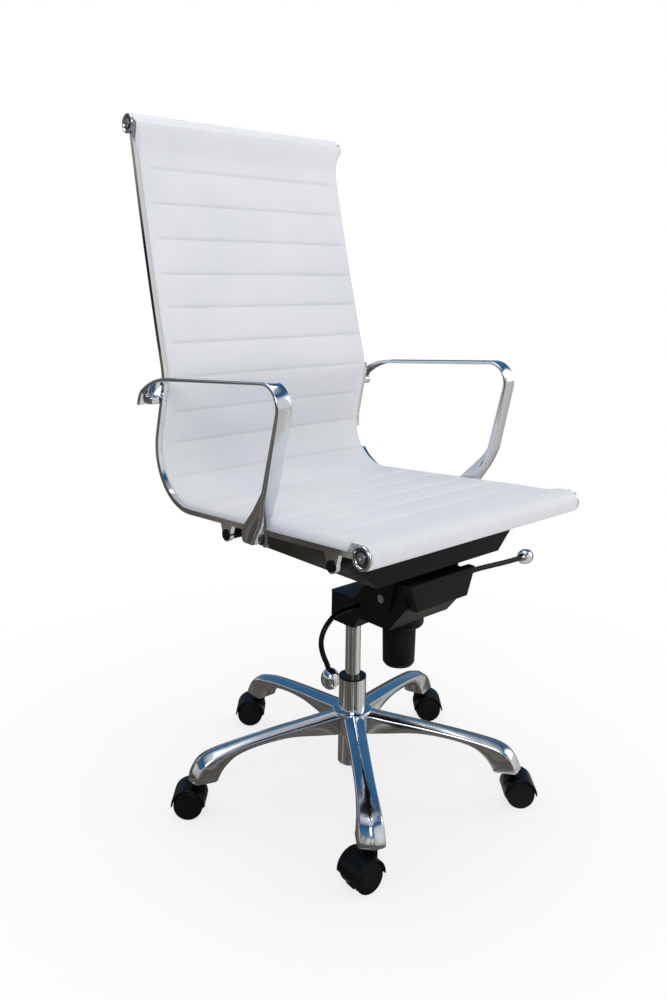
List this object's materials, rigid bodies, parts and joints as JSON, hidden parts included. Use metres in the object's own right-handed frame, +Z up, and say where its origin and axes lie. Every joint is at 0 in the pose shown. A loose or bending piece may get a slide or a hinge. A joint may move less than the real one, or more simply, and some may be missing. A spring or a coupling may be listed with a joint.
{
  "type": "swivel office chair",
  "caption": "High-back swivel office chair: quilted white sling on bright side rails, loop arms, gas lift, tilt mechanism and star base on twin-wheel casters.",
  "frame": {"origin": "on the column axis at floor level, under the middle of the star base", "axes": "+Z up, -Y to the front of the chair, +X to the left of somebody sitting in it"},
  "size_m": [0.6441, 0.669, 1.218],
  "materials": {
    "base": "polished",
    "plastic_black": "matte moulded",
    "column_chrome": "polished plate",
    "bush_black": "satin moulded",
    "steel": "bright zinc",
    "rail_chrome": "polished plate",
    "arm_polished": "polished",
    "leather_white": "soft grain",
    "mechanism_black": "satin powder coat",
    "knob_black": "ribbed moulded",
    "lever_black": "gloss paint",
    "lever_chrome": "polished plate",
    "tray_black": "satin powder coat",
    "spring_steel": "oiled wire",
    "caster_black": "satin moulded",
    "wheel_black": "matte tread",
    "brass": "turned"
  },
  "bodies": {
    "base": {"star_base": "base", "caster_sleeves": "plastic_black", "column_outer_tube": "column_chrome", "column_guide_bush": "bush_black"},
    "piston": {"piston_rod": "steel", "thrust_washer": "steel", "rod_clip": "steel"},
    "chassis": {"gas_cylinder": "column_chrome", "mechanism_housing": "mechanism_black", "housing_front_cover": "plastic_black", "spring_cup": "mechanism_black", "tension_spring": "spring_steel", "tilt_axle": "steel"},
    "valve": {"valve_button": "brass"},
    "lift_lever": {"height_lever": "lever_black", "height_lever_ball": "lever_chrome"},
    "lock_lever": {"lock_lever": "lever_black", "lock_lever_bulb": "lever_chrome"},
    "knob": {"tension_knob": "knob_black", "tension_bolt": "steel"},
    "seat": {"rail_right": "rail_chrome", "rail_left": "rail_chrome", "top_cross_tube": "steel", "front_cross_tube": "steel", "end_caps": "rail_chrome", "cap_screws": "steel", "back_spreader": "rail_chrome", "seat_cross_tubes": "tray_black", "seat_tray": "tray_black", "tilt_cheeks": "mechanism_black", "tray_bolts": "steel", "sling": "leather_white", "arm_right": "arm_polished", "arm_left": "arm_polished", "arm_bolts": "steel"},
    "caster_1": {"caster_1_hood": "caster_black", "caster_1_stem": "steel", "caster_1_axle": "steel"},
    "wheel_1a": {"caster_1_wheel_a": "wheel_black"},
    "wheel_1b": {"caster_1_wheel_b": "wheel_black"},
    "caster_2": {"caster_2_hood": "caster_black", "caster_2_stem": "steel", "caster_2_axle": "steel"},
    "wheel_2a": {"caster_2_wheel_a": "wheel_black"},
    "wheel_2b": {"caster_2_wheel_b": "wheel_black"},
    "caster_3": {"caster_3_hood": "caster_black", "caster_3_stem": "steel", "caster_3_axle": "steel"},
    "wheel_3a": {"caster_3_wheel_a": "wheel_black"},
    "wheel_3b": {"caster_3_wheel_b": "wheel_black"},
    "caster_4": {"caster_4_hood": "caster_black", "caster_4_stem": "steel", "caster_4_axle": "steel"},
    "wheel_4a": {"caster_4_wheel_a": "wheel_black"},
    "wheel_4b": {"caster_4_wheel_b": "wheel_black"},
    "caster_5": {"caster_5_hood": "caster_black", "caster_5_stem": "steel", "caster_5_axle": "steel"},
    "wheel_5a": {"caster_5_wheel_a": "wheel_black"},
    "wheel_5b": {"caster_5_wheel_b": "wheel_black"}
  },
  "joints": [
    {"name": "swivel", "type": "hinge", "parent": "base", "child": "piston", "pos_m": [0, 0, 0.05], "axis": [0, 0, 1], "continuous": true},
    {"name": "lift", "type": "slide", "parent": "piston", "child": "chassis", "axis": [0, 0, 1], "range_m": [-0.09, 0.01]},
    {"name": "valve_press", "type": "slide", "parent": "chassis", "child": "valve", "axis": [0, 0, -1], "range_m": [0, 0.0034], "stiffness_N_per_m": 1500, "springref_m": -0.001},
    {"name": "lift_lever_pull", "type": "hinge", "parent": "chassis", "child": "lift_lever", "pos_m": [0, -0.046, 0.352], "axis": [-1, 0, 0], "range_deg": [0, 4.2], "stiffness_Nm_per_rad": 6, "springref_deg": -14.32},
    {"name": "tilt_lock", "type": "hinge", "parent": "chassis", "child": "lock_lever", "pos_m": [0.06, -0.183, 0.42], "axis": [0, -1, 0], "range_deg": [0, 12]},
    {"name": "tension_turn", "type": "hinge", "parent": "chassis", "child": "knob", "pos_m": [0, -0.114, 0.3], "axis": [0, 0, 1], "continuous": true},
    {"name": "tilt", "type": "hinge", "parent": "chassis", "child": "seat", "pos_m": [0, -0.147, 0.404], "axis": [-1, 0, 0], "range_deg": [0, 15], "stiffness_Nm_per_rad": 150, "springref_deg": -14.32},
    {"name": "caster_1_swivel", "type": "hinge", "parent": "base", "child": "caster_1", "pos_m": [-0.1731, -0.22641, 0.062], "axis": [0, 0, 1], "continuous": true},
    {"name": "wheel_1a_roll", "type": "hinge", "parent": "caster_1", "child": "wheel_1a", "pos_m": [-0.19103, -0.22484, 0.025], "axis": [-0.0872, -0.9962, 0], "continuous": true},
    {"name": "wheel_1b_roll", "type": "hinge", "parent": "caster_1", "child": "wheel_1b", "pos_m": [-0.19103, -0.22484, 0.025], "axis": [-0.0872, -0.9962, 0], "continuous": true},
    {"name": "caster_2_swivel", "type": "hinge", "parent": "base", "child": "caster_2", "pos_m": [0.16184, -0.23459, 0.062], "axis": [0, 0, 1], "continuous": true},
    {"name": "wheel_2a_roll", "type": "hinge", "parent": "caster_2", "child": "wheel_2a", "pos_m": [0.17521, -0.24664, 0.025], "axis": [0.6691, 0.7431, 0], "continuous": true},
    {"name": "wheel_2b_roll", "type": "hinge", "parent": "caster_2", "child": "wheel_2b", "pos_m": [0.17521, -0.24664, 0.025], "axis": [0.6691, 0.7431, 0], "continuous": true},
    {"name": "caster_3_swivel", "type": "hinge", "parent": "base", "child": "caster_3", "pos_m": [0.27312, 0.08142, 0.062], "axis": [0, 0, 1], "continuous": true},
    {"name": "wheel_3a_roll", "type": "hinge", "parent": "caster_3", "child": "wheel_3a", "pos_m": [0.2865, 0.06938, 0.025], "axis": [0.6691, 0.7431, 0], "continuous": true},
    {"name": "wheel_3b_roll", "type": "hinge", "parent": "caster_3", "child": "wheel_3b", "pos_m": [0.2865, 0.06938, 0.025], "axis": [0.6691, 0.7431, 0], "continuous": true},
    {"name": "caster_4_swivel", "type": "hinge", "parent": "base", "child": "caster_4", "pos_m": [0.00696, 0.28491, 0.062], "axis": [0, 0, 1], "continuous": true},
    {"name": "wheel_4a_roll", "type": "hinge", "parent": "caster_4", "child": "wheel_4a", "pos_m": [-0.00641, 0.29696, 0.025], "axis": [-0.6691, -0.7431, 0], "continuous": true},
    {"name": "wheel_4b_roll", "type": "hinge", "parent": "caster_4", "child": "wheel_4b", "pos_m": [-0.00641, 0.29696, 0.025], "axis": [-0.6691, -0.7431, 0], "continuous": true},
    {"name": "caster_5_swivel", "type": "hinge", "parent": "base", "child": "caster_5", "pos_m": [-0.26882, 0.09467, 0.062], "axis": [0, 0, 1], "continuous": true},
    {"name": "wheel_5a_roll", "type": "hinge", "parent": "caster_5", "child": "wheel_5a", "pos_m": [-0.28219, 0.10671, 0.025], "axis": [-0.6691, -0.7431, 0], "continuous": true},
    {"name": "wheel_5b_roll", "type": "hinge", "parent": "caster_5", "child": "wheel_5b", "pos_m": [-0.28219, 0.10671, 0.025], "axis": [-0.6691, -0.7431, 0], "continuous": true}
  ],
  "couplings": [
    {"joint": "valve_press", "follows": "lift_lever_pull", "m_per_rad": 0.046}
  ]
}
